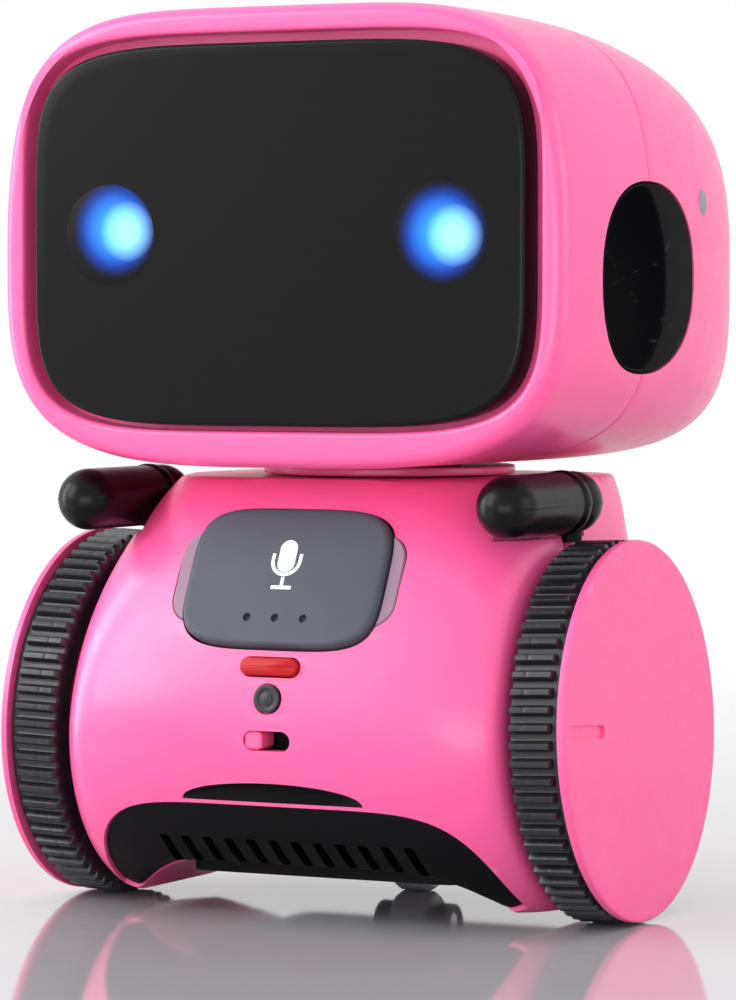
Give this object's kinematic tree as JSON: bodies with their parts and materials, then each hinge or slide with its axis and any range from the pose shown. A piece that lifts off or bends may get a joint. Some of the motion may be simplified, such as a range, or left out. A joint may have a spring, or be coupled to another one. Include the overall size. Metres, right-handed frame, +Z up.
{
  "type": "desktop talking robot toy",
  "caption": "Desktop talking robot toy with a turning TV-shaped head, lit eyes, swinging arms, two cambered driven wheels and a rear roller.",
  "frame": {"origin": "on the floor, under the middle of the bounding box", "axes": "+Z up, the robot faces -Y, its own left hand is at +X"},
  "size_m": [0.0754, 0.0634, 0.1049],
  "materials": {
    "pink_shell": "moulded satin-gloss pink shell",
    "pink_disc": "moulded satin pink disc",
    "pink_knob": "small moulded knob",
    "smoked_panel": "smoked near-black face window",
    "eye_light": "blue lit lens",
    "black_gloss": "polished black plastic",
    "black_satin": "satin black plastic",
    "tyre_rubber": "ribbed black rubber",
    "button_grey": "dark grey matte key",
    "halo_lavender": "milky light guide",
    "lamp_red": "red lens",
    "grey_plastic": "grey plastic",
    "white_plastic": "white nylon",
    "steel": "plated steel",
    "board_green": "solder-mask green board",
    "cell_wrap": "plain cell wrap"
  },
  "bodies": {
    "body": {"body_front_shell": "pink_shell", "body_rear_shell": "pink_shell", "speaker_skirt": "black_satin", "base_plate": "black_satin", "sensor_window": "black_gloss", "record_lamp": "lamp_red", "record_mark": "black_satin", "button_halo": "halo_lavender", "button_switch": "black_satin", "slide_switch": "black_satin", "neck_post": "black_satin", "neck_ring": "white_plastic", "neck_collar": "pink_shell", "speaker": "black_satin", "main_board": "board_green", "cell_1": "cell_wrap", "cell_2": "cell_wrap", "cell_3": "cell_wrap", "caster_pin": "steel", "motor_left": "steel", "motor_right": "steel", "shoulder_pin_left": "black_satin", "shoulder_pin_right": "black_satin"},
    "head": {"head_front_shell": "pink_shell", "head_rear_shell": "pink_shell", "face_panel": "smoked_panel", "eye_lens_left": "eye_light", "eye_lens_right": "eye_light", "eye_lamp_left": "white_plastic", "eye_lamp_right": "white_plastic", "ear_left": "black_gloss", "ear_right": "black_gloss", "head_dot_left": "grey_plastic", "head_dot_right": "grey_plastic", "head_screw_left": "steel", "head_screw_right": "steel", "face_board": "board_green", "touch_plate": "steel"},
    "wheel_left": {"wheel_disc_left": "pink_disc", "tyre_left": "tyre_rubber", "axle_left": "steel", "drive_gear_left": "white_plastic"},
    "wheel_right": {"wheel_disc_right": "pink_disc", "tyre_right": "tyre_rubber", "axle_right": "steel", "drive_gear_right": "white_plastic"},
    "pinion_left": {"pinion_left": "white_plastic"},
    "pinion_right": {"pinion_right": "white_plastic"},
    "arm_left": {"arm_left": "black_gloss"},
    "arm_right": {"arm_right": "black_gloss"},
    "button": {"mic_button": "button_grey"},
    "switch": {"slide_knob": "pink_knob"},
    "door": {"battery_door": "pink_shell", "door_screw": "steel"},
    "roller": {"caster_roller": "grey_plastic"}
  },
  "joints": [
    {"name": "head_turn", "type": "hinge", "parent": "body", "child": "head", "pos_m": [0, -0.00001, 0.0508], "axis": [0, 0, 1], "range_deg": [-60, 60]},
    {"name": "wheel_left_spin", "type": "hinge", "parent": "body", "child": "wheel_left", "pos_m": [0.032, -0.00801, 0.022], "axis": [0.9993, 0, 0.0366], "continuous": true},
    {"name": "wheel_right_spin", "type": "hinge", "parent": "body", "child": "wheel_right", "pos_m": [-0.032, -0.00801, 0.022], "axis": [0.9993, 0, -0.0366], "continuous": true},
    {"name": "pinion_left_spin", "type": "hinge", "parent": "body", "child": "pinion_left", "pos_m": [0.03185, 0.00109, 0.0262], "axis": [0.9993, 0, 0.0366], "continuous": true},
    {"name": "pinion_right_spin", "type": "hinge", "parent": "body", "child": "pinion_right", "pos_m": [-0.03185, 0.00109, 0.0262], "axis": [0.9993, 0, -0.0366], "continuous": true},
    {"name": "arm_left_swing", "type": "hinge", "parent": "body", "child": "arm_left", "pos_m": [0.0271, -0.00741, 0.0482], "axis": [0, 0, 1], "range_deg": [0, 80]},
    {"name": "arm_right_swing", "type": "hinge", "parent": "body", "child": "arm_right", "pos_m": [-0.0271, -0.00741, 0.0482], "axis": [0, 0, -1], "range_deg": [0, 80]},
    {"name": "mic_button_press", "type": "slide", "parent": "body", "child": "button", "axis": [0, 0.8949, -0.4462], "range_m": [0, 0.001], "stiffness_N_per_m": 600},
    {"name": "power_slide", "type": "slide", "parent": "body", "child": "switch", "axis": [1, 0, 0], "range_m": [0, 0.0028]},
    {"name": "battery_door_swing", "type": "hinge", "parent": "body", "child": "door", "pos_m": [0, 0.02149, 0.016], "axis": [-1, 0, 0], "range_deg": [0, 95]},
    {"name": "roller_spin", "type": "hinge", "parent": "body", "child": "roller", "pos_m": [0, 0.00779, 0.0036], "axis": [1, 0, 0], "continuous": true}
  ],
  "couplings": [
    {"joint": "pinion_left_spin", "follows": "wheel_left_spin", "ratio": -3},
    {"joint": "pinion_right_spin", "follows": "wheel_right_spin", "ratio": -3}
  ]
}
